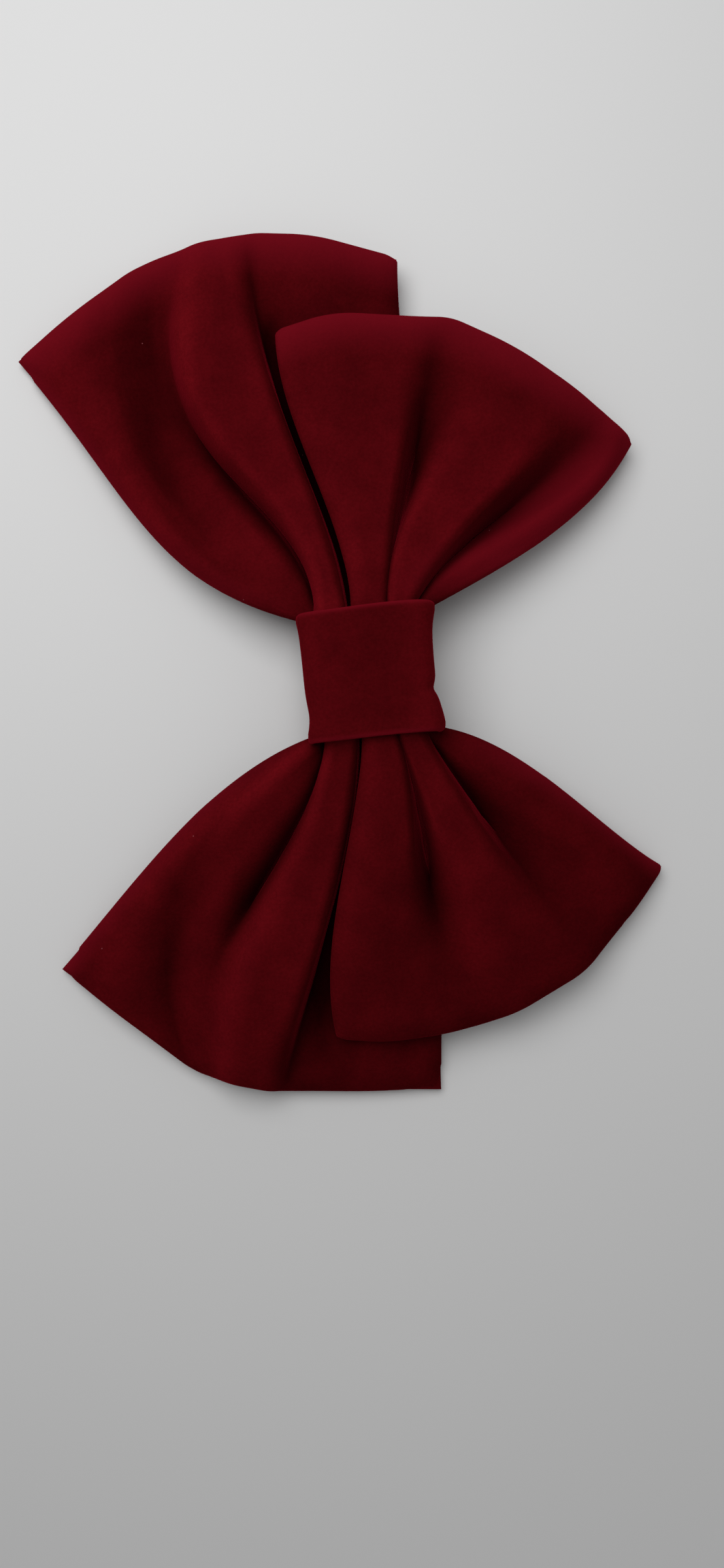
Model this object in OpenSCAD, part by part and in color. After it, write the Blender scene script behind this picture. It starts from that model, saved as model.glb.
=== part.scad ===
// Pre-tied bow tie: two sewn velvet bows, one over the other, gathered at the waist, wrapped by a
// velvet band, with a sprung collar clip on the back.
// The bow lies face up. The origin is on the surface it rests on, at the middle of the clip's back
// face. +X and +Y are across and along the bow (wing tip to wing tip), +Z is out of its face.

/* [Cloth] */
// Thickness of the velvet on the face of each bow
face_t = 0.9; // [0.7:0.05:1.0]
// Thickness of the interlining inside each bow
interlining_t = 0.4; // [0.3:0.05:0.5]
// Thickness of the velvet on the underside of each bow
backing_t = 0.9; // [0.7:0.05:1.0]
// Gap left between two cloth layers
ply_gap = 0.05; // [0.02:0.01:0.06]

/* [Knot band] */
// Length of the band along the bow
band_l = 28; // [24:0.5:28]
// Width of the band across the bow
band_w = 28.4; // [28:0.1:32]
// Thickness of the band's velvet
band_t = 1.2; // [0.8:0.1:1.3]
// Thickness of the cotton lining inside the band
lining_t = 0.4; // [0.2:0.1:0.5]
// Number of whip stitches along the lapped end of the band
lap_stitches = 10; // [6:1:12]

/* [Waist] */
// Height of the gathered bows inside the band
stack_h = 11.9; // [11.8:0.1:12.4]
// Number of turns of binding thread round the waist
thread_turns = 6; // [3:1:12]
// Thickness of the binding thread
thread_t = 0.4; // [0.3:0.05:0.4]

/* [Clip] */
// Length of the clip
clip_l = 26; // [24:1:28]
// Width of the clip's sewn plate
clip_w = 14; // [14:0.5:18]
// Thickness of the clip's sheet steel
sheet_t = 0.8; // [0.6:0.1:0.8]
// Gap between the clip's plate and its lever
clip_gap = 3.5; // [3.5:0.1:3.8]
// Radius of the hinge pin
pin_r = 0.75; // [0.6:0.05:0.8]
// Running clearance between the pin and the lever's ears
pin_play = 0.05; // [0.02:0.01:0.08]
// Place of the pin along the clip
pin_x = -2; // [-3:0.5:0]
// Number of coils in the spring
spring_coils = 7; // [5:1:8]
// Radius of the spring wire
wire_r = 0.25; // [0.2:0.01:0.27]

/* [Hidden] */

// Colours of the cloth and the metal
velvet = [0.32, 0.02, 0.05];
velvet_dark = [0.24, 0.015, 0.04];
cotton = [0.80, 0.77, 0.70];
thread_red = [0.36, 0.04, 0.06];
nickel = [0.74, 0.74, 0.72];
spring_steel = [0.55, 0.56, 0.58];

// Clearances: between wrapped pieces, and between the clip's plate and the band for the stitches
wrap_gap = 0.1;
stitch_gap = 0.35;

// Heights, from the resting surface up
lever_top = sheet_t;
plate_z = lever_top + clip_gap;
pin_z = lever_top + clip_gap / 2;
band_z = plate_z + sheet_t + stitch_gap;
cavity_z = band_z + 2 * band_t;
thread_z = cavity_z + lining_t + wrap_gap;
stack_z = thread_z + thread_t + 2 * wrap_gap;
thread_top = stack_z + stack_h + wrap_gap + thread_t;
cavity_top = thread_top + wrap_gap + lining_t;
band_top = cavity_top + band_t;

// Layers of one bow: each from its lower to its upper height above the bow's lower surface
backing_span = [0, backing_t];
interlining_span = [backing_t + ply_gap, backing_t + ply_gap + interlining_t];
face_span = [interlining_span[1] + ply_gap, interlining_span[1] + ply_gap + face_t];

// Where the bows leave the band, and how finely their surfaces are divided
mouth_y = band_l / 2 + 0.3;
wing_steps = 8;
fold_steps = 2;

// Sides of a wire's or a stitch's cross-section
wire_sides = 6;

// Waist of each bow: [place across the waist, rise above the bottom of the stack] at each fold,
// from the left edge to the right edge: panel, valley, raised pleat, valley, panel
back_waist = [[-11.8, 2.2], [-11.1, 1.6], [-10.2, 0.9], [-8.9, 3.6], [-7.4, 5.7], [-5.8, 3.6],
              [-4.4, 0.1], [3, 0], [11, 0]];
front_waist = [[-3.9, 6.7], [-1, 7.8], [2.5, 6.5], [4.6, 3.2], [6.2, 6.6], [7.8, 9.4],
               [9.4, 6.6], [11, 3.6], [11.8, 4.6]];

// Free edge of each wing: [x, y, z, bulge] at the same folds. The bulge is how far the fold line
// bows sideways from the straight line between the waist and the free edge
back_upper_edge = [[-72, 79, 0.3, -9], [-58, 89, 3.5, -9], [-43, 93, 3, -8], [-37, 96.5, 6, -5],
                   [-30, 98, 8.5, -3], [-23, 97.5, 7, -1], [-17, 97, 4, 0], [-2, 97.5, 4.5, 0],
                   [14, 93, 1.5, 2]];
back_lower_edge = [[-75, -60, 0.3, -6], [-62, -72, 3, -4], [-50, -81.5, 2.5, -2],
                   [-43, -86.5, 4, 1], [-36, -89, 5.5, 2], [-31, -90.5, 5, 3], [-25, -91.5, 2, 4],
                   [-9, -93, 3, 3], [8, -94.5, 0.3, 2]];
front_upper_edge = [[-14, 77, 10.5, -1], [0, 79, 11, -1], [14, 78, 9.5, -1], [24, 75.5, 6, -1],
                    [31, 72.5, 8.5, 0], [38, 68, 10, 0], [45, 63, 8.5, 1], [52, 57.5, 5.5, 1],
                    [63, 48, 3, 7]];
front_lower_edge = [[-14, -80, 7.2, -3], [-3, -80.5, 7.5, -2], [9, -80, 7, -1], [18, -79, 5, 0],
                    [25, -77.5, 6, 0], [32, -75, 7, 0], [40, -70.5, 6, 0], [47, -65, 4, 1],
                    [62, -48.5, 1, 4]];

// ---- Curves and surfaces ----

function mix(a, b, t) = a + (b - a) * t;

// Smooth curve through b and c, shaped by their neighbours a and d
function smooth_between(a, b, c, d, t) =
    0.5 * (2 * b + (c - a) * t + (2 * a - 5 * b + 4 * c - d) * t * t
           + (3 * b - a - 3 * c + d) * t * t * t);

// Value part-way along a list, where place counts its items
function along(list, place) =
    let (last = len(list) - 1)
    let (i = min(floor(place), last - 1))
    smooth_between(list[max(i - 1, 0)], list[i], list[i + 1], list[min(i + 2, last)], place - i);

// Point on a wing: t runs from the band's mouth (0) to the free edge (1)
function wing_point(waist, edge, side, t) =
    [mix(waist[0], edge[0], t) + 4 * edge[3] * t * (1 - t),
     mix(side * mouth_y, edge[1], t),
     mix(stack_z + waist[1], edge[2], t)];

// One row of points across a wing, from its left edge to its right edge
function wing_row(waist, edge, side, t) =
    [for (k = [0:fold_steps * (len(waist) - 1)])
        wing_point(along(waist, k / fold_steps), along(edge, k / fold_steps), side, t)];

// Lower surface of a whole bow: rows from the upper free edge, through the waist, to the lower one
function bow_rows(waist, upper_edge, lower_edge) =
    concat([for (k = [wing_steps:-1:0]) wing_row(waist, upper_edge, 1, k / wing_steps)],
           [for (k = [0:wing_steps]) wing_row(waist, lower_edge, -1, k / wing_steps)]);

// Closed layer of cloth between two heights above a surface of rows and columns
module layer(rows, span) {
    columns = len(rows[0]);
    last_row = len(rows) - 1;
    last_column = columns - 1;
    surface = [for (row = rows) each row];
    count = len(surface);
    points = [for (level = span) for (p = surface) p + [0, 0, level]];
    function upper(r, c) = count + r * columns + c;
    function lower(r, c) = r * columns + c;
    faces = concat(
        [for (r = [0:last_row - 1]) for (c = [0:last_column - 1]) each [
            [upper(r, c), upper(r, c + 1), upper(r + 1, c + 1)],
            [upper(r, c), upper(r + 1, c + 1), upper(r + 1, c)],
            [lower(r, c), lower(r + 1, c + 1), lower(r, c + 1)],
            [lower(r, c), lower(r + 1, c), lower(r + 1, c + 1)]]],
        [for (c = [0:last_column - 1]) each [
            [upper(0, c + 1), upper(0, c), lower(0, c), lower(0, c + 1)],
            [upper(last_row, c), upper(last_row, c + 1), lower(last_row, c + 1), lower(last_row, c)]]],
        [for (r = [0:last_row - 1]) each [
            [upper(r, 0), upper(r + 1, 0), lower(r + 1, 0), lower(r, 0)],
            [upper(r + 1, last_column), upper(r, last_column), lower(r, last_column),
             lower(r + 1, last_column)]]]);
    polyhedron(points = points, faces = faces);
}

module back_bow_layer(span) {
    layer(bow_rows(back_waist, back_upper_edge, back_lower_edge), span);
}

module front_bow_layer(span) {
    layer(bow_rows(front_waist, front_upper_edge, front_lower_edge), span);
}

// Ring of points round one place on a path that runs across the Y direction
function wire_ring(path, i, radius) =
    let (ahead = path[min(i + 1, len(path) - 1)] - path[max(i - 1, 0)])
    let (flat = [ahead[0], 0, ahead[2]])
    let (up = cross([0, 1, 0], flat / norm(flat)))
    [for (k = [0:wire_sides - 1])
        path[i] + radius * (cos(360 * k / wire_sides) * [0, 1, 0] + sin(360 * k / wire_sides) * up)];

// Closed wire along a path that runs across the Y direction
module wire(path, radius) {
    last = len(path) - 1;
    function corner(i, k) = i * wire_sides + k % wire_sides;
    faces = concat(
        [for (i = [0:last - 1]) for (k = [0:wire_sides - 1]) each [
            [corner(i, k), corner(i, k + 1), corner(i + 1, k + 1)],
            [corner(i, k), corner(i + 1, k + 1), corner(i + 1, k)]]],
        [[for (k = [wire_sides - 1:-1:0]) corner(0, k)]],
        [[for (k = [0:wire_sides - 1]) corner(last, k)]]);
    polyhedron(points = [for (i = [0:last]) each wire_ring(path, i, radius)], faces = faces);
}

// ---- The two bows ----

module back_bow_face() {
    color(velvet) back_bow_layer(face_span);
}

module back_bow_interlining() {
    color(cotton) back_bow_layer(interlining_span);
}

module back_bow_backing() {
    color(velvet_dark) back_bow_layer(backing_span);
}

module front_bow_face() {
    color(velvet) front_bow_layer(face_span);
}

module front_bow_interlining() {
    color(cotton) front_bow_layer(interlining_span);
}

module front_bow_backing() {
    color(velvet_dark) front_bow_layer(backing_span);
}

// ---- Waist and knot band ----

// Rectangle with round corners in X and Z, extruded along Y about y = 0
module rounded_bar(half_w, low, high, corner, length) {
    translate([0, length / 2, 0])
        rotate([90, 0, 0])
            linear_extrude(length)
                union() {
                    translate([-half_w + corner, low]) square([2 * (half_w - corner), high - low]);
                    translate([-half_w, low + corner]) square([2 * half_w, high - low - 2 * corner]);
                    for (x = [-1, 1])
                        for (z = [low + corner, high - corner])
                            translate([x * (half_w - corner), z]) circle(corner, $fn = 48);
                }
}

// Turns of thread that hold the gathers, drawn flat where they press on the cloth
module waist_thread() {
    pitch = 3 * thread_t;
    turn_w = 2 * thread_t;
    half_w = band_w / 2 - band_t - lining_t - wrap_gap;
    corner = 2.2;
    color(thread_red)
        for (turn = [0:thread_turns - 1])
            translate([0, (turn - (thread_turns - 1) / 2) * pitch, 0])
                difference() {
                    rounded_bar(half_w, thread_z, thread_top, corner, turn_w);
                    rounded_bar(half_w - thread_t, thread_z + thread_t, thread_top - thread_t,
                                corner - thread_t, turn_w + 1);
                }
}

// Velvet wrapped round the waist. Its outer end laps under the back and stops at lap_x
lap_x = 8;
band_corner = 4;

module knot_band() {
    color(velvet)
        difference() {
            union() {
                rounded_bar(band_w / 2, band_z + band_t, band_top, band_corner, band_l);
                intersection() {
                    rounded_bar(band_w / 2, band_z, band_top, band_corner, band_l);
                    translate([-band_w, -band_l, 0]) cube([band_w + lap_x, 2 * band_l, band_top]);
                }
            }
            rounded_bar(band_w / 2 - band_t, cavity_z, cavity_top, band_corner - band_t, band_l + 1);
        }
}

module band_lining() {
    half_w = band_w / 2 - band_t - ply_gap / 2;
    corner = band_corner - band_t;
    color(cotton)
        difference() {
            rounded_bar(half_w, cavity_z + ply_gap / 2, cavity_top - ply_gap / 2, corner, band_l - 2);
            rounded_bar(half_w - lining_t, cavity_z + lining_t, cavity_top - lining_t,
                        corner - lining_t, band_l);
        }
}

// A run of thread through a list of points
module thread_run(points, radius) {
    for (i = [0:len(points) - 2]) {
        step = points[i + 1] - points[i];
        translate(points[i])
            rotate([0, acos(step[2] / norm(step)), atan2(step[1], step[0])])
                cylinder(h = norm(step), r = radius, $fn = 16);
    }
    for (p = points)
        translate(p) sphere(radius, $fn = 16);
}

// Whip stitches over the edge of the lapped end: each goes in beside the edge and out through the lap
module band_stitches() {
    pitch = (band_l - 4) / (lap_stitches - 1);
    depth = 0.3;
    reach = 0.8;
    color(thread_red)
        for (k = [0:lap_stitches - 1])
            translate([lap_x, k * pitch - band_l / 2 + 1.6, band_z])
                wire([[-reach, 0, depth], [-reach, 0.1, -0.08], [0, 0.4, -0.14], [0.25, 0.5, 0.1],
                      [reach, 0.8, band_t - 0.12], [reach, 0.9, band_t + depth]], 0.16);
}

// ---- Collar clip ----

ear_r = clip_gap / 2 - 0.2;
base_ear_y = 4.9;
lever_half_w = 4.6;
hole_x = 9.5;
hole_y = 5;

// Upright ear with a round end at the pin, on one side of the clip
module ear(side, inner_y, thickness, from_z, hole_r) {
    low = min(from_z, pin_z);
    translate([pin_x, side * (inner_y + thickness / 2), 0])
        difference() {
            union() {
                translate([-ear_r, -thickness / 2, low])
                    cube([2 * ear_r, thickness, abs(from_z - pin_z)]);
                translate([0, thickness / 2, pin_z]) rotate([90, 0, 0])
                    cylinder(h = thickness, r = ear_r, $fn = 48);
            }
            translate([0, thickness, pin_z]) rotate([90, 0, 0])
                cylinder(h = 2 * thickness, r = hole_r, $fn = 48);
        }
}

// Plate with round corners, lying flat
module flat_plate(length, width, corner, low) {
    translate([0, 0, low])
        linear_extrude(sheet_t)
            union() {
                square([length, width - 2 * corner], center = true);
                square([length - 2 * corner, width], center = true);
                for (x = [-1, 1])
                    for (y = [-1, 1])
                        translate([x * (length / 2 - corner), y * (width / 2 - corner)])
                            circle(corner, $fn = 48);
            }
}

// Row of teeth at the jaw end, from a straight root at root_z to tips at tip_z
module teeth(count, root_z, valley_z, tip_z) {
    pitch = 2.2;
    outline = concat([[-count * pitch / 2, root_z]],
                     [for (k = [0:count - 1]) each [
                         [(k - count / 2) * pitch, valley_z],
                         [(k - count / 2 + 0.5) * pitch, tip_z]]],
                     [[count * pitch / 2, valley_z], [count * pitch / 2, root_z]]);
    translate([clip_l / 2 - sheet_t, 0, 0])
        rotate([90, 0, 90])
            linear_extrude(sheet_t) polygon(outline);
}

module clip_base() {
    color(nickel)
        difference() {
            union() {
                flat_plate(clip_l, clip_w, 2, plate_z);
                for (side = [-1, 1])
                    ear(side, base_ear_y, sheet_t, plate_z + sheet_t / 2, pin_r + 0.02);
                teeth(4, plate_z + sheet_t / 2, plate_z - 0.9, pin_z - 0.25);
            }
            for (x = [-1, 1])
                for (y = [-1, 1])
                    translate([x * hole_x, y * hole_y, plate_z - 1])
                        cylinder(h = sheet_t + 2, r = 0.8, $fn = 32);
        }
}

module clip_lever() {
    color(nickel)
        union() {
            flat_plate(clip_l, 2 * lever_half_w, 2, 0);
            for (side = [-1, 1])
                ear(side, lever_half_w - 0.7, 0.7, sheet_t / 2, pin_r + pin_play);
            teeth(3, sheet_t / 2, lever_top + 0.9, pin_z + 0.15);
        }
}

// Riveted pin, with a head outside each ear
module clip_pin() {
    outer_y = base_ear_y + sheet_t + 0.05;
    head_t = 0.35;
    color(nickel)
        translate([pin_x, 0, pin_z])
            rotate([90, 0, 0]) {
                cylinder(h = 2 * outer_y, r = pin_r, center = true, $fn = 48);
                for (side = [-1, 1])
                    translate([0, 0, side * (outer_y + head_t / 2)])
                        cylinder(h = head_t, r = pin_r + 0.4, center = true, $fn = 48);
            }
}

// Torsion spring on the pin: both legs run back under the thumb end and push it apart
coil_r = pin_r + wire_r + 0.15;
coil_half_l = 2.6;
leg_x = -9;
rings_per_turn = 12;

function spring_path() =
    let (steps = round(rings_per_turn * (spring_coils + 0.5)))
    concat([[leg_x, -coil_half_l, plate_z - wire_r - 0.02]],
           [for (k = [0:steps])
               let (turn = 90 - 360 * k / rings_per_turn)
               [pin_x + coil_r * cos(turn), mix(-coil_half_l, coil_half_l, k / steps),
                pin_z + coil_r * sin(turn)]],
           [[leg_x, coil_half_l, lever_top + wire_r + 0.02]]);

module clip_spring() {
    color(spring_steel) wire(spring_path(), wire_r);
}

// Loops of thread that hold the plate to the band: through each hole and over the plate's edge
module clip_stitches() {
    under = plate_z - 0.25;
    inside = band_z + 0.4;
    outside_y = clip_w / 2 + 0.35;
    color(thread_red)
        for (x = [-1, 1])
            for (y = [-1, 1])
                thread_run([[x * hole_x, y * hole_y, inside], [x * hole_x, y * hole_y, under],
                            [x * hole_x, y * outside_y, under], [x * hole_x, y * outside_y, inside],
                            [x * hole_x, y * hole_y, inside]], 0.2);
}

back_bow_face();
back_bow_interlining();
back_bow_backing();
front_bow_face();
front_bow_interlining();
front_bow_backing();
waist_thread();
knot_band();
band_lining();
band_stitches();
clip_base();
clip_lever();
clip_pin();
clip_spring();
clip_stitches();
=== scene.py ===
"""Looks of a pre-tied velvet bow tie lying face up on a pale table."""
import math

import bpy
import numpy as np
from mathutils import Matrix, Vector


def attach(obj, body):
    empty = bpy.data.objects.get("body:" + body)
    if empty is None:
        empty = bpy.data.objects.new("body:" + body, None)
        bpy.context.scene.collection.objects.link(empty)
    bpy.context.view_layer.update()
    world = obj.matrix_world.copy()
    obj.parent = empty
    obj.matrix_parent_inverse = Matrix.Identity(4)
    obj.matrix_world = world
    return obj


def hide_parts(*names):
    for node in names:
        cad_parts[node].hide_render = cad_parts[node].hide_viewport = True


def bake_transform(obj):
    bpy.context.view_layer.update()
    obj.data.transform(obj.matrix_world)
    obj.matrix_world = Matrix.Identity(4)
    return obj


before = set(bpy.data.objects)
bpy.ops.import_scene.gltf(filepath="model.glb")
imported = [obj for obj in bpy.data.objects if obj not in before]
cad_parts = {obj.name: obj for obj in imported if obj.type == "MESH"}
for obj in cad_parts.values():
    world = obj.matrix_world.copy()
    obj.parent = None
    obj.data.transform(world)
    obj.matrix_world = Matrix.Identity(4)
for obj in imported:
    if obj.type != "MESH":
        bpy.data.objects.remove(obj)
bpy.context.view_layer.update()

MM = 0.001


# ---------------------------------------------------------------- camera

def make_camera():
    """Camera straight above the bow, turned a little, because the bow lies askew in its frame."""
    data = bpy.data.cameras.new("camera")
    data.lens = 28
    data.sensor_width = 36
    data.clip_start = 0.01
    camera = bpy.data.objects.new("camera", data)
    camera.location = (-3.7 * MM, -23.7 * MM, 281 * MM)
    camera.rotation_euler = (0, 0, math.radians(-5))
    bpy.context.scene.collection.objects.link(camera)
    bpy.context.scene.camera = camera


make_camera()


# ---------------------------------------------------------------- folds of the two bows

# Where the wings leave the band, in millimetres along the bow, and how much deeper than that the
# wings' edges tuck in, for each millimetre that they lie beyond the middle of the band
MOUTH_Y = 13.6
TUCK = 0.6
TUCK_FROM = 10

# Each fold runs from the band's mouth to the free edge of its wing. Its line goes through four
# stations on the middle of the cloth: (x, z) at the mouth, then (x, y, z) a third of the way, two
# thirds of the way and at the free edge. Last come how softly the cloth turns over the fold at the
# four stations. All are in millimetres, and a wing's folds go from its left edge to its right edge.
BACK_UPPER = (
    ((-12.2, 13.0), (-37.9, 27.6, 8.5), (-54.6, 50.0, 5.5), (-73.8, 79.6, 2.0), (1, 1, 1, 1)),
    ((-11.8, 13.2), (-36.6, 29.8, 10.4), (-51.2, 53.8, 8.2), (-60.6, 87.2, 6.0), (1, 4, 9, 12)),
    ((-11.2, 13.4), (-34.4, 31.6, 9.4), (-43.5, 58.8, 3.8), (-46.5, 97.0, 3.8), (1, 4, 8, 10)),
    ((-10.8, 13.6), (-23.6, 37.0, 10.6), (-38.8, 61.2, 3.4), (-40.5, 99.2, 3.8), (1, 4, 6, 6)),
    ((-10.2, 14.6), (-20.0, 38.8, 6.0), (-35.2, 63.0, 2.8), (-34.0, 100.2, 5.0), (0.8, 1.2, 4, 9)),
    ((-9.3, 19.4), (-17.8, 40.3, 14.4), (-32.3, 63.6, 13.4), (-29.0, 99.8, 9.0), (1, 1.8, 2.4, 10)),
    ((-4.7, 19.6), (-10.2, 41.5, 14.0), (-18.0, 70.0, 13.0), (-21.4, 100.0, 10.0), (1, 1.4, 1.8, 7)),
    ((-4.2, 10.6), (-9.6, 41.6, 4.6), (-17.2, 70.4, 5.8), (-16.6, 101.0, 9.0), (1, 1.2, 2.0, 9)),
    ((3.0, 9.8), (0.0, 43.0, 3.4), (-6.0, 72.0, 7.8), (-4.0, 99.2, 9.4), (2, 8, 12, 12)),
    ((10.6, 9.8), (14.5, 41.0, 2.4), (14.0, 68.0, 4.8), (14.4, 93.8, 6.4), (1, 1, 1, 1)),
)
BACK_LOWER = (
    ((-12.2, 13.0), (-34.5, -22.8, 9.8), (-55.8, -40.5, 6.0), (-75.9, -60.0, 1.6), (1, 1, 1, 1)),
    ((-11.8, 13.2), (-32.8, -25.4, 13.0), (-52.4, -45.2, 8.6), (-64.0, -70.2, 5.0), (1, 3, 9, 12)),
    ((-11.2, 13.4), (-30.6, -28.0, 14.6), (-47.4, -50.6, 4.8), (-48.4, -84.6, 3.2), (1, 4, 8, 9)),
    ((-10.8, 13.6), (-24.4, -34.4, 12.8), (-41.5, -55.4, 6.8), (-45.6, -86.2, 3.2), (1, 4, 6, 6)),
    ((-10.2, 14.6), (-22.6, -37.2, 5.2), (-37.0, -59.6, 5.6), (-43.0, -87.1, 3.8), (0.8, 1.2, 4, 9)),
    ((-9.3, 19.4), (-20.2, -39.2, 14.0), (-32.6, -61.5, 12.6), (-38.2, -88.3, 7.6), (1, 3, 5, 10)),
    ((-4.5, 19.6), (-10.6, -40.0, 13.6), (-20.4, -66.0, 12.2), (-30.8, -90.6, 6.4), (1, 1.6, 1.8, 5)),
    ((-4.0, 10.6), (-10.0, -40.3, 4.6), (-19.4, -66.4, 2.2), (-27.6, -91.8, 3.6), (1, 1.2, 2.0, 8)),
    ((3.0, 9.8), (0.0, -43.0, 3.4), (-5.0, -71.0, 5.4), (-9.0, -93.4, 2.6), (2, 8, 12, 12)),
    ((10.6, 9.8), (12.5, -41.0, 2.4), (10.5, -69.0, 3.2), (8.3, -95.0, 1.5), (1, 1, 1, 1)),
)
FRONT_UPPER = (
    ((-2.8, 19.2), (-5.2, 34.5, 16.4), (-11.3, 56.0, 15.0), (-13.9, 77.3, 13.0), (1, 1, 1, 1)),
    ((-0.8, 20.0), (-0.4, 35.0, 17.4), (-3.0, 57.0, 16.4), (-1.0, 79.8, 14.0), (2, 6, 10, 12)),
    ((4.2, 19.8), (7.4, 34.0, 16.6), (12.8, 56.5, 15.8), (17.9, 77.6, 12.5), (1, 1, 2, 9)),
    ((5.0, 17.8), (10.2, 34.5, 6.2), (16.8, 56.5, 9.8), (25.0, 77.6, 10.6), (0.8, 1, 4, 10)),
    ((5.8, 20.0), (13.4, 35.4, 16.4), (26.8, 53.2, 14.8), (38.6, 69.4, 12.0), (1, 2, 5, 10)),
    ((9.4, 20.0), (22.6, 29.8, 16.8), (37.2, 43.0, 15.2), (51.0, 59.6, 10.6), (1, 1.3, 1.8, 8)),
    ((10.4, 17.4), (25.0, 28.6, 6.2), (42.6, 40.6, 7.0), (58.6, 53.8, 6.6), (0.8, 1.2, 5, 8)),
    ((11.4, 16.6), (28.2, 25.6, 12.8), (48.0, 35.0, 10.4), (61.2, 51.2, 6.2), (1, 4, 6, 6)),
    ((12.2, 15.6), (31.5, 21.6, 11.5), (49.0, 32.7, 8.5), (64.0, 48.4, 4.5), (1, 1, 1, 1)),
)
FRONT_LOWER = (
    ((-2.8, 19.2), (-7.2, -35.0, 16.2), (-13.0, -57.5, 13.0), (-14.0, -79.8, 9.0), (1, 1, 1, 1)),
    ((-0.8, 20.0), (-1.0, -35.5, 17.4), (-5.0, -58.5, 14.4), (-3.0, -81.2, 10.0), (2, 6, 10, 12)),
    ((4.2, 19.8), (5.4, -35.5, 15.8), (4.8, -58.0, 12.8), (10.0, -80.8, 9.0), (1, 1, 6, 12)),
    ((5.0, 17.6), (8.6, -35.5, 5.8), (11.2, -56.5, 9.0), (18.4, -79.4, 8.0), (0.8, 1, 6, 10)),
    ((5.8, 20.0), (12.2, -34.5, 16.2), (18.4, -55.0, 13.8), (26.6, -77.2, 9.8), (1, 1, 8, 10)),
    ((9.4, 20.0), (19.2, -33.2, 16.0), (30.4, -52.5, 13.0), (42.4, -69.6, 9.0), (1, 1.2, 5, 10)),
    ((10.4, 18.0), (21.4, -32.4, 6.8), (34.0, -50.2, 8.2), (49.0, -63.2, 6.2), (0.8, 1.4, 6, 10)),
    ((11.4, 16.6), (26.2, -28.0, 12.2), (44.8, -41.0, 10.4), (56.3, -55.8, 5.0), (1, 4, 8, 8)),
    ((12.2, 15.6), (31.2, -21.1, 11.5), (47.2, -35.4, 8.0), (63.0, -48.5, 2.8), (1, 1, 1, 1)),
)


# ---------------------------------------------------------------- cloth surfaces

# Half the thickness of a finished wing: two velvets and an interlining, in millimetres
WING_HALF = 1.15
# Half the gap that the interlining fills between the two velvets, and how many points of the grid
# in from the edge the interlining ends
CORE_HALF = 0.26
CORE_INSET = 12
# Extra half thickness over the seam allowance, and how wide the allowance is
ALLOWANCE_HALF = 0.16
ALLOWANCE_WIDTH = 5
# How much thinner half a wing is pressed at the band's mouth, and how far out that reaches
PINCH_HALF = 0.35
PINCH_REACH = 14
# Radius of a turned edge
EDGE_RADIUS = 1.3
# Level direction to the window. Velvet facing it is painted lighter and velvet facing away
# painted darker: painted light and shade
WINDOW_WARD = np.array((-0.94, 0.34, 0))
# How far the edges sag, how far in from the edge that starts, and how far out from the band's mouth
# it is in full
EDGE_SAG = 1.3
SAG_FROM = 4.5
SAG_AWAY = 12
# Height of the middle of the cloth where it lies on the table
LYING_Z = 1.35
# Right end of the back bow's ridge in the band, as (x, z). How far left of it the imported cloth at
# the middle of the waist starts, and the width over which it sets in. How steeply that cloth falls
# away to the right, and how much of the valley's depth is left in it.
RIDGE = (-4.7, 19.6)
PACKED_FROM = 1.0
PACKED_OVER = 1.5
PACKED_SLOPE = 0.6
PACKED_DEPTH = 0.1
# How far in the painted sheen reaches on the lower wings, from the free edge and from the outer side
LOWER_SHEEN_BREADTH = (1.2, 5.5)
# Least level distance over which a slope is measured
NEAREST = 0.6
# Steps in from a turned edge, close enough together to round it
RIM_STEPS = np.array((0, 0.04, 0.12, 0.25, 0.45, 0.7, 1.0, 1.4, 2.0, 3.0, 4.2))
CORNER_STEPS = 10
FLAT_STEPS = 4
WING_ROWS = 64
WAIST_ROWS = 8
# Rough length of a wing, which spaces the rows near its free edge
WING_LENGTH = 80
# Least reach of the turn over a fold, and the most of a panel's width that a turn may take up
SHARPEST = 0.8
TURN_SHARE = 0.42


def shares(t):
    """Share of each of a fold's four stations at t from the mouth (0) to the free edge (1)."""
    third, two_thirds = t - 1 / 3, t - 2 / 3
    return np.stack([-4.5 * third * two_thirds * (t - 1), 13.5 * t * two_thirds * (t - 1),
                     -13.5 * t * third * (t - 1), 4.5 * t * third * two_thirds], axis=1)


def rim_points(edge, inner):
    """Points from a free edge to the next fold's turn: close together at the edge."""
    length = np.linalg.norm(inner - edge)
    near = RIM_STEPS / length * min(1, 0.8 * length / RIM_STEPS[-1])
    places = np.concatenate([near, np.linspace(near[-1], 1, FLAT_STEPS + 1)[1:-1]])
    return edge + places[:, None] * (inner - edge)


def across(corners, softness):
    """Points of one row across a wing: straight panels with a rounded turn at each fold."""
    turns = []
    for before, corner, after, soft in zip(corners, corners[1:], corners[2:], softness[1:]):
        back, ahead = before - corner, after - corner
        back_length, ahead_length = np.linalg.norm(back), np.linalg.norm(ahead)
        reach = min(max(soft, SHARPEST), TURN_SHARE * back_length, TURN_SHARE * ahead_length)
        u = np.linspace(0, 1, CORNER_STEPS + 1)[:, None]
        start, end = corner + reach / back_length * back, corner + reach / ahead_length * ahead
        turns.append((1 - u) ** 2 * start + 2 * u * (1 - u) * corner + u ** 2 * end)
    parts = [rim_points(corners[0], turns[0][0])]
    for turn, following in zip(turns, turns[1:]):
        between = np.linspace(0, 1, FLAT_STEPS + 1)[1:-1, None]
        parts += [turn, turn[-1] + between * (following[0] - turn[-1])]
    parts += [turns[-1], rim_points(corners[-1], turns[-1][-1])[::-1]]
    return np.concatenate(parts)


def beyond_mouth(grid):
    """How far each point lies out from the band's mouth along the bow: negative inside the band."""
    return np.abs(grid[:, :, 1]) - MOUTH_Y


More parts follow.
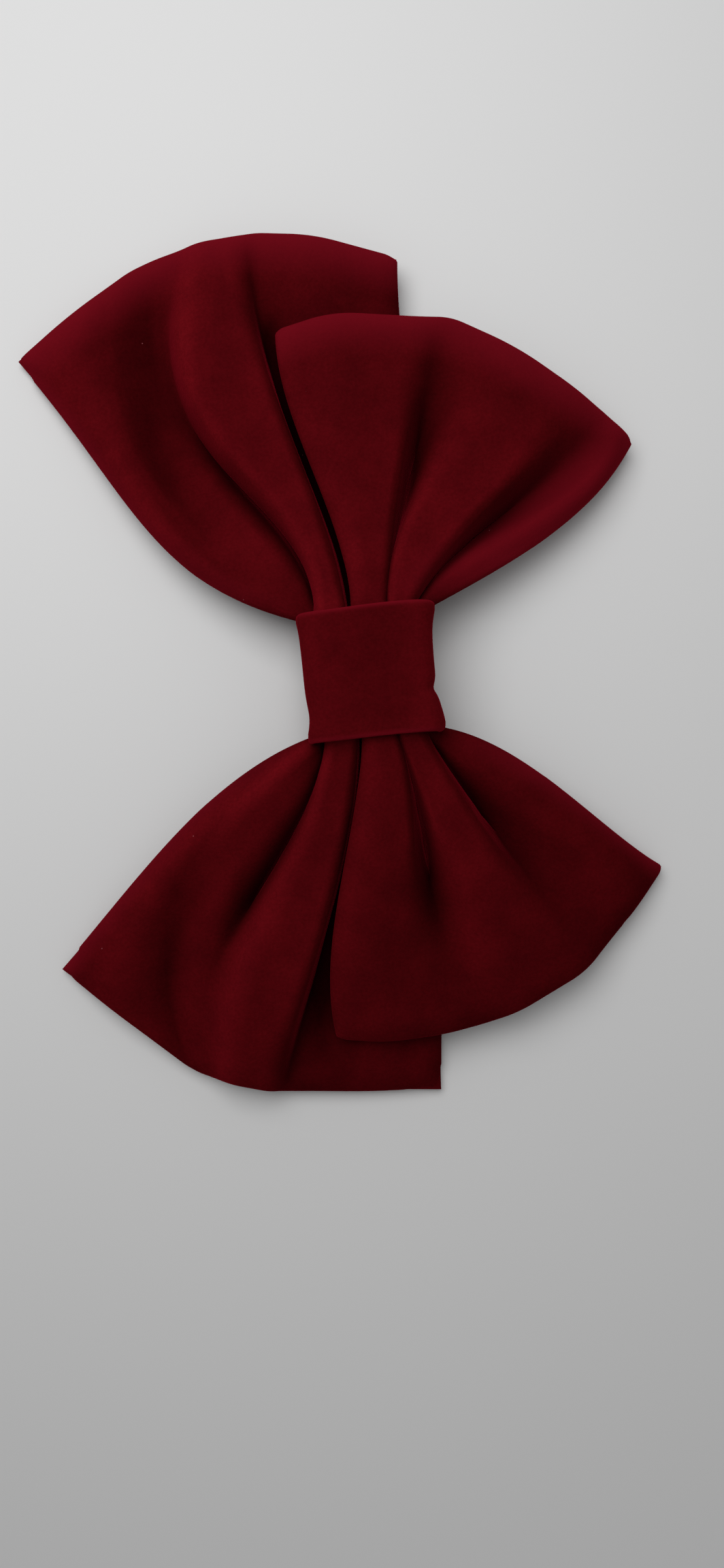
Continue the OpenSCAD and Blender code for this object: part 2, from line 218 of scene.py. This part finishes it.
def with_heights(grid, height):
    """The grid with other heights."""
    return np.concatenate([grid[:, :, :2], height[:, :, None]], axis=2)


def curled(grid):
    """The grid with its turned edges sagging, since an edge is softer than the stiffened middle,
    and with nothing of it lower than cloth that lies on the table."""
    inward = np.minimum(from_edge(grid, 0), from_edge(grid, 1))
    sag = EDGE_SAG * np.clip(1 - inward / SAG_FROM, 0, 1) ** 2
    away = np.clip(beyond_mouth(grid) / SAG_AWAY, 0, 1)
    return with_heights(grid, np.maximum(grid[:, :, 2] - sag * away, LYING_Z))


def packed(grid):
    """The back bow's grid with the valley right of its ridge pushed up inside the band, since tight
    gathers leave no way through the band."""
    inside = np.cos(math.pi / 2 * np.clip(grid[:, :, 1] / MOUTH_Y, -1, 1)) ** 2
    right = grid[:, :, 0] - RIDGE[0]
    share = np.clip((right + PACKED_FROM) / PACKED_OVER, 0, 1)
    share = share ** 2 * (3 - 2 * share)
    depth = np.maximum(RIDGE[1] - PACKED_SLOPE * np.maximum(right, 0) - grid[:, :, 2], 0)
    return with_heights(grid, grid[:, :, 2] + (1 - PACKED_DEPTH) * inside * share * depth)


def wing_grid(folds, side):
    """Rows of points over the middle of a wing's cloth, from the mouth to the free edge."""
    near_edge = 1 - RIM_STEPS[::-1] / WING_LENGTH
    t = np.concatenate([np.linspace(0, near_edge[0], WING_ROWS)[:-1], near_edge])
    stations = []
    for (x, z), third, two_thirds, edge, _ in folds:
        mouth_y = MOUTH_Y - TUCK * max(0, abs(x) - TUCK_FROM)
        stations.append(((x, side * mouth_y, z), third, two_thirds, edge))
    softness = shares(t) @ np.array([fold[4] for fold in folds]).T
    lines = np.einsum("ts,fsk->tfk", shares(t), np.array(stations))
    return np.array([across(line, soft) for line, soft in zip(lines, softness)])


def bow_grid(upper, lower):
    """Rows over a whole bow: upper free edge, upper mouth, waist, lower mouth, lower free edge."""
    top = wing_grid(upper, 1)[::-1]
    bottom = wing_grid(lower, -1)
    places = np.linspace(0, 1, WAIST_ROWS + 2)[1:-1, None, None]
    return np.concatenate([top, top[-1] + (bottom[0] - top[-1]) * places, bottom])


def normals_of(grid):
    """Upward unit normal at each point of a grid."""
    down, right = np.gradient(grid, axis=0), np.gradient(grid, axis=1)
    normal = np.cross(right, -down)
    return normal / np.linalg.norm(normal, axis=2, keepdims=True)


def from_edge(grid, axis):
    """Distance along the cloth to the nearer of its two edges on one axis."""
    steps = np.linalg.norm(np.diff(grid, axis=axis), axis=2)
    start = np.zeros_like(np.take(steps, [0], axis=axis))
    run = np.concatenate([start, np.cumsum(steps, axis=axis)], axis=axis)
    return np.minimum(run, np.take(run, [-1], axis=axis) - run)


def rounded(distance, radius):
    """Height profile of a turned edge: 0 at the edge, 1 from radius inwards."""
    return np.sqrt(1 - (1 - np.clip(distance / radius, 0, 1)) ** 2)


def turn_radius(grid):
    """Radius at which the cloth turns along its rows."""
    back, ahead = grid[:, 1:-1] - grid[:, :-2], grid[:, 2:] - grid[:, 1:-1]
    area = np.linalg.norm(np.cross(back, ahead), axis=2)
    sides = (np.linalg.norm(back, axis=2) * np.linalg.norm(ahead, axis=2)
             * np.linalg.norm(back + ahead, axis=2))
    radius = sides / np.maximum(2 * area, 1e-9)
    return np.pad(radius, ((0, 0), (1, 1)), mode="edge")


def row_distances(grid):
    """Distance along each row between all its points."""
    steps = np.linalg.norm(np.diff(grid, axis=1), axis=2)
    run = np.pad(np.cumsum(steps, axis=1), ((0, 0), (1, 0)))
    return np.abs(run[:, :, None] - run[:, None, :])


def flank_room(grid):
    """Half the way across a narrow fold from each point to the facing flank."""
    straight = np.linalg.norm(grid[:, :, None] - grid[:, None], axis=3)
    facing = straight < 0.6 * row_distances(grid)
    return 0.5 * np.where(facing, straight, np.inf).min(axis=2)


def wing_half_thickness(grid):
    """Half thickness: rounded at the edges, fuller over the seam allowance, thin in tight folds."""
    end, side = from_edge(grid, 0), from_edge(grid, 1)
    inward = np.minimum(end, side)
    fade = 1 - np.clip((inward - ALLOWANCE_WIDTH) / 3, 0, 1)
    allowance = ALLOWANCE_HALF * np.clip(inward / 1.5, 0, 1) * fade
    pinch = PINCH_HALF * np.clip(1 - beyond_mouth(grid) / PINCH_REACH, 0, 1)
    room = 0.8 * turn_radius(grid)[:, None, :] + 0.35 * row_distances(grid)
    room = np.minimum(room.min(axis=2), flank_room(grid))
    full = np.minimum(WING_HALF - pinch + allowance, room)
    return full * rounded(end, EDGE_RADIUS) * rounded(side, EDGE_RADIUS)


def hollows(grid, brink=None, reach=16):
    """How deep each point lies between folds of its row: 0 on open cloth, 1 in a narrow cleft.
    A brink is the edge of another cloth that lies over this one, on its right. The velvet is
    painted darker from it: painted shade in the clefts and beside the brink."""
    flat = np.linalg.norm(grid[:, :, None, :2] - grid[:, None, :, :2], axis=3)
    rise = grid[:, None, :, 2] - grid[:, :, None, 2]
    slope = np.where(flat < reach, rise / np.maximum(flat, NEAREST), 0)
    columns = np.arange(grid.shape[1])
    on_left = columns[None, :, None] > columns[None, None, :]
    left = np.where(on_left, slope, 0).max(axis=2)
    right = np.where(~on_left, slope, 0).max(axis=2)
    if brink is not None:
        gap = np.linalg.norm(grid[:, :, None, :2] - brink[None, None, :, :2], axis=3)
        rise = brink[None, None, :, 2] - grid[:, :, None, 2]
        slope = np.where(gap < reach, rise / np.maximum(gap, NEAREST), 0)
        right = np.maximum(right, slope.max(axis=2))
    return np.sin(np.arctan(np.minimum(left, right)))


def painted_rim_sheen(grid, outer_column, end_breadth, side_breadth):
    """Painted sheen at each point, from 0 to 1: the velvet is painted lighter along its edges,
    broadly on the upper wings and narrowly on the lower ones. The two breadths are how far in
    it reaches on the upper wing, from the free edge and from the outer side."""
    upper = grid[:, :, 1] > 0
    end = from_edge(grid, 0)
    away = np.clip(beyond_mouth(grid) / 10, 0, 1)
    side = np.linalg.norm(grid - grid[:, [outer_column]], axis=2)
    end_rim = np.where(upper, 0.9 * np.clip(1 - end / end_breadth, 0, 1) ** 1.2,
                       0.3 * np.clip(1 - end / LOWER_SHEEN_BREADTH[0], 0, 1))
    breadth = np.where(upper, side_breadth, LOWER_SHEEN_BREADTH[1])
    side_rim = 0.8 * away * np.clip(1 - side / breadth, 0, 1) ** 1.3
    return np.maximum(end_rim, side_rim)


def pile_leans(normal):
    """Painted light from the window: 0 where the cloth faces away from it, 0.5 level, 1 towards it.
    """
    return 0.5 + 0.5 * normal @ WINDOW_WARD


def reliefs(grid, reach=9):
    """Height above the cloth round each point of a row, from 0 (3 mm below) to 1 (3 mm above).
    The velvet is painted lighter on crests and darker in troughs from it: painted light and shade.
    """
    near = np.exp(-(row_distances(grid) / reach) ** 2)
    spacing = np.gradient(row_distances(grid)[:, 0], axis=1)[:, None, :]
    weight = near * spacing
    mean = (weight * grid[:, None, :, 2]).sum(axis=2) / weight.sum(axis=2)
    return np.clip(0.5 + (grid[:, :, 2] - mean) / 6, 0, 1)


def grid_faces(rows, columns, start, flip):
    """Quads over a grid whose first point has the index start."""
    r, c = np.meshgrid(np.arange(rows - 1), np.arange(columns - 1), indexing="ij")
    a = (start + r * columns + c).ravel()
    quads = np.stack([a, a + columns, a + columns + 1, a + 1], axis=1)
    return quads[:, ::-1] if flip else quads


def set_attribute(piece, name, values):
    """Number at each vertex that the materials read."""
    attribute = piece.data.attributes.new(name, "FLOAT", "POINT")
    attribute.data.foreach_set("value", np.asarray(values, np.float32))


def new_piece(name, points, faces, material, node):
    """Smooth mesh from points in millimetres, which stands for a CAD node."""
    mesh = bpy.data.meshes.new(name)
    mesh.from_pydata((np.asarray(points) * MM).tolist(), [], faces)
    mesh.validate()
    mesh.polygons.foreach_set("use_smooth", [True] * len(mesh.polygons))
    mesh.materials.append(material)
    piece = bpy.data.objects.new(name, mesh)
    bpy.context.scene.collection.objects.link(piece)
    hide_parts(node)
    return piece


def shell(name, low, high, material, node, slot, **attributes):
    """Closed piece that rides on the bow, between two grids that meet along their outer edge.
    Each attribute is an array with one number for each point of a grid."""
    rows, columns = low.shape[:2]
    count = rows * columns
    faces = np.concatenate([grid_faces(rows, columns, 0, True),
                            grid_faces(rows, columns, count, False)])
    border = np.zeros((rows, columns), bool)
    border[[0, -1], :] = True
    border[:, [0, -1]] = True
    at_border = np.flatnonzero(border.ravel())
    index = np.arange(2 * count)
    index[count + at_border] = at_border
    used = np.unique(index)
    renumber = np.full(2 * count, -1)
    renumber[used] = np.arange(len(used))
    points = np.concatenate([low.reshape(-1, 3), high.reshape(-1, 3)])[used]
    piece = new_piece(name, points, renumber[index[faces]].tolist(), material, node)
    for key, values in attributes.items():
        set_attribute(piece, key, np.concatenate([values.ravel(), values.ravel()])[used])
    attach(piece, "bow")
    return piece


def make_bow(prefix, middle, outer_column, sheen_breadths, brink, materials):
    """Face, interlining and backing of one bow, turned and closed round the edge.
    Its velvet is painted lighter as painted sheen in from the free edges and from the outer
    column, by the two breadths given, and carries painted light and shade from its folds. A brink
    is the edge of another bow that lies over this one."""
    normal = normals_of(middle)
    outer = wing_half_thickness(middle)[:, :, None]
    core = np.minimum(CORE_HALF, 0.4 * outer)
    velvet, backing, cotton = materials
    # Painted light and shade for the velvet: sheen along the edges, light on crests, shade in clefts,
    # and light or shade by how the cloth faces the window
    looks = {"rim": painted_rim_sheen(middle, outer_column, *sheen_breadths), "relief": reliefs(middle),
             "hollow": hollows(middle + outer * normal, brink), "lean": pile_leans(normal)}
    face = shell(prefix + "_face_velvet", middle + core * normal, middle + outer * normal,
                 velvet, prefix + "_face", "velvet_face", **looks)
    back = shell(prefix + "_backing_velvet", middle - outer * normal, middle - core * normal,
                 backing, prefix + "_backing", "velvet_backing", **looks)
    inset = (slice(CORE_INSET, -CORE_INSET),) * 2
    inner = middle[inset]
    thin = 0.5 * core[inset] * normal[inset]
    thin[[0, -1], :] = 0
    thin[:, [0, -1]] = 0
    stiffener = shell(prefix + "_interlining_cotton", inner - thin, inner + thin,
                      cotton, prefix + "_interlining", "interlining")
    return face, back, stiffener


# ---------------------------------------------------------------- knot band

# Middle of the band's velvet: half width, heights of its layers and radius of its corners. Its
# inner end and its lapped outer end, across the bow. Half its length along the bow, and the
# velvet's thickness. All are in millimetres.
BAND_X = 13.6
BAND_TOP = 22.45
BAND_INNER_Z = 7.25
BAND_OUTER_Z = 6.05
BAND_CORNER = 3.4
INNER_END_X = -12.0
OUTER_END_X = 8.0
BAND_HALF_L = 14.0
BAND_T = 1.2


def arc(x, z, start, end):
    """Points round a corner of the band, in degrees from the +X direction."""
    angles = np.radians(np.linspace(start, end, 11))
    return np.stack([x + BAND_CORNER * np.cos(angles), z + BAND_CORNER * np.sin(angles)], axis=1)


def band_path():
    """Section of the wrapped strip: inner end below, once round, and lapped under to its end."""
    right, left = BAND_X - BAND_CORNER, BAND_CORNER - BAND_X
    stretches = [
        np.array([(INNER_END_X, BAND_INNER_Z)]),
        arc(right, BAND_INNER_Z + BAND_CORNER, -90, 0),
        arc(right, BAND_TOP - BAND_CORNER, 0, 90),
        arc(left, BAND_TOP - BAND_CORNER, 90, 180),
        arc(left, BAND_OUTER_Z + BAND_CORNER, 180, 270),
        np.array([(OUTER_END_X, BAND_OUTER_Z)]),
    ]
    corners = np.concatenate(stretches)
    path = []
    for start, end in zip(corners, corners[1:]):
        count = max(1, int(np.ceil(np.linalg.norm(end - start) / 0.7)))
        path += [start + (end - start) * k / count for k in range(count)]
    return np.array(path + [corners[-1]])


def bump(place, middle, width):
    """Smooth bump of height 1 round a middle."""
    return np.exp(-((place - middle) / width) ** 2)


def upper_part(z):
    """1 on the upper part of the band, down to 0 at its bottom."""
    return np.clip((z - 8) / 4, 0, 1)


def band_thickness(x, y, z):
    """Thickness of the velvet: doubled where its long edges are turned in, pinched at one side."""
    right = np.clip((x - 8) / 5, 0, 1)
    left = np.clip((-x - 8) / 5, 0, 1)
    turned = 0.35 * np.clip((np.abs(y) - 8) / 4, 0, 1) ** 2
    right_side = 0.6 * bump(y, 14, 5) + 0.75 * bump(y, -11, 4) - 0.5 * bump(y, -4.4, 1.9)
    left_side = 0.35 * bump(y, 12, 6) - 0.4 * bump(y, -8.5, 3.5)
    crease = -0.28 * bump(y + 0.22 * (13.6 - x), -4.6, 1.1) * np.clip((x - 2) / 9, 0, 1)
    swell = 0.18 * np.sin(0.33 * x + 0.9) * np.cos(0.21 * y - 0.4)
    uneven = turned + right * right_side + left * left_side + crease + swell
    return BAND_T + upper_part(z) * uneven


def make_band(velvet):
    """Strip of velvet round the waist, with turned long edges and its outer end lapped below."""
    path = band_path()
    steps = np.concatenate([RIM_STEPS, np.linspace(5, BAND_HALF_L, 16)])
    y = np.concatenate([steps, 2 * BAND_HALF_L - steps[-2::-1]]) - BAND_HALF_L
    tangent = np.gradient(path, axis=0)
    tangent /= np.linalg.norm(tangent, axis=1, keepdims=True)
    outward = np.stack([tangent[:, 1], np.zeros(len(path)), -tangent[:, 0]], axis=1)[:, None, :]
    inner_x = (path[:, 0] - outward[:, 0, 0] * BAND_T / 2)[:, None]
    inner_z = (path[:, 1] - outward[:, 0, 2] * BAND_T / 2)[:, None]
    x, z = path[:, :1] + 0 * y, path[:, 1:] + 0 * y
    along = y[None, :] + 0 * x
    ends = 0.35 * np.sin(0.16 * x + 0.6) * upper_part(z)
    spread = along + np.where(along > 0, ends, 0.6 * ends) * np.abs(along / BAND_HALF_L) ** 4
    thickness = band_thickness(x, along, z)
    inner = np.stack([inner_x + 0 * y, spread, inner_z + 0 * y], axis=2)
    middle = inner + (thickness / 2)[:, :, None] * outward
    profile = rounded(from_edge(middle, 0), 0.6) * rounded(from_edge(middle, 1), 1.0)
    half = (0.98 * thickness / 2 * profile)[:, :, None] * outward
    # Painted sheen along the band's long edges
    rim = np.clip(1 - from_edge(middle, 1) / 1.3, 0, 1) ** 1.5
    # Painted light on the band's left and right sides, besides the painted sheen
    return shell("knot_band_velvet", middle - half, middle + half, velvet, "knot_band",
                 "velvet_band", rim=rim, hollow=0 * rim, relief=0 * rim + 0.5,
                 lean=0.5 + 0.25 * np.clip((np.abs(x) - 7) / 6, 0, 1))


# ---------------------------------------------------------------- clip spring

# Torsion spring on the clip's pin, in millimetres: the pin's x and z, the coil and its two legs
PIN_X, PIN_Z = -2.0, 2.55
COIL_RADIUS = 1.15
COIL_HALF_L = 2.6
COIL_TURNS = 7.5
STEPS_PER_TURN = 20
WIRE_RADIUS = 0.25
LEG_X = -9.0
BASE_LEG_Z = 4.03
LEVER_LEG_Z = 1.07


def spring_path():
    """Middle of the wire: the leg on the base, the coil from above the pin, the lever's leg."""
    turns = np.linspace(0, COIL_TURNS, round(STEPS_PER_TURN * COIL_TURNS) + 1)
    angles = math.radians(90) - 2 * math.pi * turns
    coil = np.stack([PIN_X + COIL_RADIUS * np.cos(angles),
                     np.linspace(-COIL_HALF_L, COIL_HALF_L, len(turns)),
                     PIN_Z + COIL_RADIUS * np.sin(angles)], axis=1)
    return np.concatenate([[(LEG_X, -COIL_HALF_L, BASE_LEG_Z)], coil,
                           [(LEG_X, COIL_HALF_L, LEVER_LEG_Z)]])


def make_spring(material, sides=10):
    """Round wire along the spring's path."""
    path = spring_path()
    tangent = np.gradient(path, axis=0)
    across_wire = np.cross(tangent, (0, 1, 0))
    across_wire /= np.linalg.norm(across_wire, axis=1, keepdims=True)
    upright = np.cross(across_wire, tangent)
    upright /= np.linalg.norm(upright, axis=1, keepdims=True)
    around = np.linspace(0, 2 * math.pi, sides, endpoint=False)[None, :, None]
    rings = (path[:, None] + WIRE_RADIUS * (np.cos(around) * across_wire[:, None]
                                            + np.sin(around) * upright[:, None]))
    faces = [[k * sides + i, k * sides + (i + 1) % sides,
              (k + 1) * sides + (i + 1) % sides, (k + 1) * sides + i]
             for k in range(len(path) - 1) for i in range(sides)]
    last = (len(path) - 1) * sides
    faces += [list(range(sides))[::-1], [last + i for i in range(sides)]]
    piece = new_piece("clip_spring_wire", rings.reshape(-1, 3), faces, material, "clip_spring")
    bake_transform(piece)


def finish_nodes(names, material):
    """Better material on CAD pieces that stay as they are."""
    for name in names:
        for slot in bpy.data.objects[name].material_slots:
            slot.material = material


# ---------------------------------------------------------------- materials

def new_material(name, colour, roughness, **sockets):
    """Principled material with even values on the shader's own sockets. Returns it with its nodes."""
    material = bpy.data.materials.new(name)
    material.use_nodes = True
    tree = material.node_tree
    shader = tree.nodes["Principled BSDF"]
    shader.inputs["Base Color"].default_value = (*colour, 1)
    shader.inputs["Roughness"].default_value = roughness
    for key, value in sockets.items():
        shader.inputs[key.replace("_", " ")].default_value = value
    return material, tree, shader


def coordinates(tree):
    """The piece's own coordinates, from one node for the whole material."""
    node = tree.nodes.get("place") or tree.nodes.new("ShaderNodeTexCoord")
    node.name = "place"
    return node.outputs["Object"]


def noise(tree, scale, detail=2.0, rough=0.5):
    """Noise texture with its scale in features per metre."""
    texture = tree.nodes.new("ShaderNodeTexNoise")
    texture.inputs["Scale"].default_value = scale
    texture.inputs["Detail"].default_value = detail
    texture.inputs["Roughness"].default_value = rough
    tree.links.new(coordinates(tree), texture.inputs["Vector"])
    return texture.outputs["Fac"]


def specks(tree, scale):
    """Distance to scattered points, in cells of 1 / scale metres."""
    texture = tree.nodes.new("ShaderNodeTexVoronoi")
    texture.inputs["Scale"].default_value = scale
    tree.links.new(coordinates(tree), texture.inputs["Vector"])
    return texture.outputs["Distance"]


def vertex_number(tree, name):
    """Number stored at the mesh's vertices."""
    node = tree.nodes.new("ShaderNodeAttribute")
    node.attribute_name = name
    return node.outputs["Fac"]


def ramp(tree, value, stops):
    """Colour ramp over a value: stops are (position, colour)."""
    node = tree.nodes.new("ShaderNodeValToRGB")
    tree.links.new(value, node.inputs["Fac"])
    elements = node.color_ramp.elements
    while len(elements) < len(stops):
        elements.new(0.5)
    for element, (position, colour) in zip(elements, stops):
        element.position = position
        element.color = (*colour, 1)
    return node.outputs["Color"]


def grey_ramp(tree, value, *stops):
    """Grey ramp over a value: stops are (position, brightness)."""
    return ramp(tree, value, [(position, (grey,) * 3) for position, grey in stops])


def mixed(tree, kind, share, first, second):
    """Mix of two colours. The share is a number or a socket."""
    node = tree.nodes.new("ShaderNodeMix")
    node.data_type = "RGBA"
    node.blend_type = kind
    for socket, value in ((node.inputs[0], share), (node.inputs[6], first), (node.inputs[7], second)):
        if isinstance(value, bpy.types.NodeSocket):
            tree.links.new(value, socket)
        elif isinstance(value, tuple):
            socket.default_value = (*value, 1)
        else:
            socket.default_value = value
    return node.outputs[2]


def bumps(tree, shader, layers):
    """Chain of bumps on the shader: layers are (height socket, strength, distance in mm)."""
    normal = None
    for height, strength, depth in layers:
        node = tree.nodes.new("ShaderNodeBump")
        node.inputs["Strength"].default_value = strength
        node.inputs["Distance"].default_value = depth * MM
        tree.links.new(height, node.inputs["Height"])
        if normal is not None:
            tree.links.new(normal, node.inputs["Normal"])
        normal = node.outputs["Normal"]
    tree.links.new(normal, shader.inputs["Normal"])


def velvet_material(name, dark, light, sheen_colour):
    """Short dense pile, with painted light and shade: painted shade in the folds and on cloth facing
    away from the window, painted light on crests and facing the window, painted sheen at the edges.
    """
    material, tree, shader = new_material(
        name, light, 0.95, Sheen_Weight=0.2, Sheen_Roughness=0.35,
        Sheen_Tint=(1.0, 0.02, 0.06, 1), Specular_IOR_Level=0.0)
    colour = ramp(tree, noise(tree, 90, 3, 0.6), [(0.35, dark), (0.65, light)])
    tuft = noise(tree, 1500, 3, 0.65)
    pile = grey_ramp(tree, tuft, (0.30, 0.72), (0.70, 1.2))
    colour = mixed(tree, "MULTIPLY", 0.6, colour, pile)
    # Painted light on crests and painted shade in troughs
    painted_relief_light = grey_ramp(tree, vertex_number(tree, "relief"), (0.1, 0.66), (0.9, 1.30))
    colour = mixed(tree, "MULTIPLY", 1.0, colour, painted_relief_light)
    # Painted light where the cloth faces the window, painted shade where it faces away
    leaning = grey_ramp(tree, vertex_number(tree, "lean"), (0.1, 0.62), (0.5, 1.0), (0.9, 1.6))
    colour = mixed(tree, "MULTIPLY", 1.0, colour, leaning)
    # Painted shade in clefts and beside the other bow's edge
    shade = grey_ramp(tree, vertex_number(tree, "hollow"), (0.05, 1.0), (0.45, 0.62), (0.80, 0.20))
    colour = mixed(tree, "MULTIPLY", 1.0, colour, shade)
    # Painted sheen: lighter velvet along the edges
    colour = mixed(tree, "MIX", vertex_number(tree, "rim"), colour, sheen_colour)
    lint = grey_ramp(tree, specks(tree, 120), (0.012, 0.6), (0.020, 0.0))
    colour = mixed(tree, "MIX", lint, colour, (0.34, 0.10, 0.11))
    tree.links.new(colour, shader.inputs["Base Color"])
    tree.links.new(grey_ramp(tree, tuft, (0.3, 0.85), (0.7, 1.0)), shader.inputs["Roughness"])
    bumps(tree, shader, [(noise(tree, 220, 3, 0.6), 0.25, 0.35), (tuft, 0.6, 0.2)])
    return material


def stripes(tree, direction, pitch):
    """Even waves across a direction, with their pitch in millimetres."""
    texture = tree.nodes.new("ShaderNodeTexWave")
    texture.bands_direction = direction
    texture.inputs["Scale"].default_value = 2 * math.pi / (20 * pitch * MM)
    texture.inputs["Distortion"].default_value = 0.6
    texture.inputs["Detail Scale"].default_value = 0.3
    tree.links.new(coordinates(tree), texture.inputs["Vector"])
    return texture.outputs["Fac"]


def cotton_material(name, colour):
    """Plain woven cotton: crossed threads, uneven in colour, a little fluffy."""
    material, tree, shader = new_material(name, colour, 0.9, Sheen_Weight=0.3)
    warp, weft = stripes(tree, "X", 0.42), stripes(tree, "Y", 0.42)
    uneven = ramp(tree, noise(tree, 300, 4, 0.6),
                  [(0.3, tuple(0.78 * c for c in colour)), (0.7, colour)])
    shade = mixed(tree, "MULTIPLY", 0.5, uneven, grey_ramp(tree, warp, (0.0, 0.7), (0.7, 1.0)))
    shade = mixed(tree, "MULTIPLY", 0.5, shade, grey_ramp(tree, weft, (0.0, 0.7), (0.7, 1.0)))
    tree.links.new(shade, shader.inputs["Base Color"])
    tree.links.new(grey_ramp(tree, noise(tree, 900), (0.3, 0.8), (0.7, 1.0)),
                   shader.inputs["Roughness"])
    bumps(tree, shader, [(warp, 0.5, 0.08), (weft, 0.5, 0.08), (noise(tree, 2600), 0.3, 0.05)])
    return material


def thread_material(name, dark, light):
    """Twisted thread: slanting plies and stray fibres."""
    material, tree, shader = new_material(name, light, 0.7, Sheen_Weight=0.4)
    plies = stripes(tree, "DIAGONAL", 0.35)
    shade = ramp(tree, plies, [(0.15, dark), (0.75, light)])
    stray = grey_ramp(tree, noise(tree, 700), (0.3, 0.6), (0.7, 1.0))
    shade = mixed(tree, "MULTIPLY", 0.5, shade, stray)
    tree.links.new(shade, shader.inputs["Base Color"])
    tree.links.new(grey_ramp(tree, plies, (0.0, 0.85), (1.0, 0.6)), shader.inputs["Roughness"])
    bumps(tree, shader, [(plies, 0.6, 0.12), (noise(tree, 3000), 0.3, 0.05)])
    return material


def metal_material(name, bright, dull, polish):
    """Plated steel: fine lines of a brush finish, small scratches and dull patches from handling."""
    material, tree, shader = new_material(name, bright, polish, Metallic=1.0)
    patches = noise(tree, 140, 4, 0.6)
    tree.links.new(ramp(tree, patches, [(0.40, bright), (0.75, dull)]), shader.inputs["Base Color"])
    tree.links.new(grey_ramp(tree, patches, (0.35, polish), (0.8, polish + 0.22)),
                   shader.inputs["Roughness"])
    scratches = noise(tree, 1800, 4, 0.7)
    bumps(tree, shader, [(stripes(tree, "X", 0.25), 0.08, 0.02), (scratches, 0.12, 0.03)])
    return material


# Each velvet: two tones that vary at random, then the colour of its painted sheen at the edges
VELVET = velvet_material("crimson_velvet", (0.062, 0.0017, 0.0032),
                         (0.081, 0.0022, 0.0040), (0.17, 0.0045, 0.011))
BACKING = velvet_material("crimson_velvet_back", (0.055, 0.0015, 0.0028),
                          (0.072, 0.0020, 0.0036), (0.15, 0.0040, 0.010))
COTTON = cotton_material("cotton_weave", (0.60, 0.56, 0.47))
LINING = cotton_material("dyed_lining", (0.075, 0.004, 0.007))
THREAD = thread_material("twisted_thread", (0.035, 0.002, 0.003), (0.11, 0.005, 0.008))
NICKEL = metal_material("nickel_plate", (0.66, 0.63, 0.58), (0.42, 0.39, 0.35), 0.22)
SPRING_STEEL = metal_material("spring_wire_steel", (0.50, 0.50, 0.52), (0.30, 0.29, 0.29), 0.30)

BACK = packed(curled(bow_grid(BACK_UPPER, BACK_LOWER)))
FRONT = curled(bow_grid(FRONT_UPPER, FRONT_LOWER))
LAYERS = (VELVET, BACKING, COTTON)
back_face, back_backing, back_stiffener = make_bow(
    "back_bow", BACK, outer_column=0, sheen_breadths=(11, 5), brink=FRONT[:, 0], materials=LAYERS)
front_face, front_backing, front_stiffener = make_bow(
    "front_bow", FRONT, outer_column=-1, sheen_breadths=(11, 15), brink=None, materials=LAYERS)
knot = make_band(VELVET)
make_spring(SPRING_STEEL)
finish_nodes(("clip_base", "clip_lever", "clip_pin"), NICKEL)
finish_nodes(("waist_thread", "band_stitches", "clip_stitches"), THREAD)
finish_nodes(("band_lining",), LINING)


# ---------------------------------------------------------------- table and light

def make_floor():
    """Plain pale table, just under the bow."""
    mesh = bpy.data.meshes.new("table_top")
    half = 3.0
    low = -0.3 * MM
    mesh.from_pydata([(-half, -half, low), (half, -half, low), (half, half, low), (-half, half, low)],
                     [], [(0, 1, 2, 3)])
    mesh.materials.append(new_material("table_white", (0.74, 0.74, 0.74), 0.6)[0])
    floor = bpy.data.objects.new("table_top", mesh)
    bpy.context.scene.collection.objects.link(floor)


def make_light(name, place, aim, size, power):
    """Soft square light at a place, turned towards a point."""
    data = bpy.data.lights.new(name, "AREA")
    data.size = size
    data.energy = power
    light = bpy.data.objects.new(name, data)
    light.location = place
    light.rotation_euler = (Vector(aim) - Vector(place)).to_track_quat("-Z", "Y").to_euler()
    bpy.context.scene.collection.objects.link(light)


def make_room(strength):
    """Even light from all round."""
    world = bpy.data.worlds.new("room")
    world.use_nodes = True
    background = world.node_tree.nodes["Background"]
    background.inputs["Color"].default_value = (1, 1, 1, 1)
    background.inputs["Strength"].default_value = strength
    bpy.context.scene.world = world


make_floor()
make_light("window", place=(-0.09, 0.22, 0.40), aim=(-0.03, 0.20, 0), size=0.40, power=1.5)
make_room(strength=0.28)
bpy.context.scene.view_settings.view_transform = "Standard"
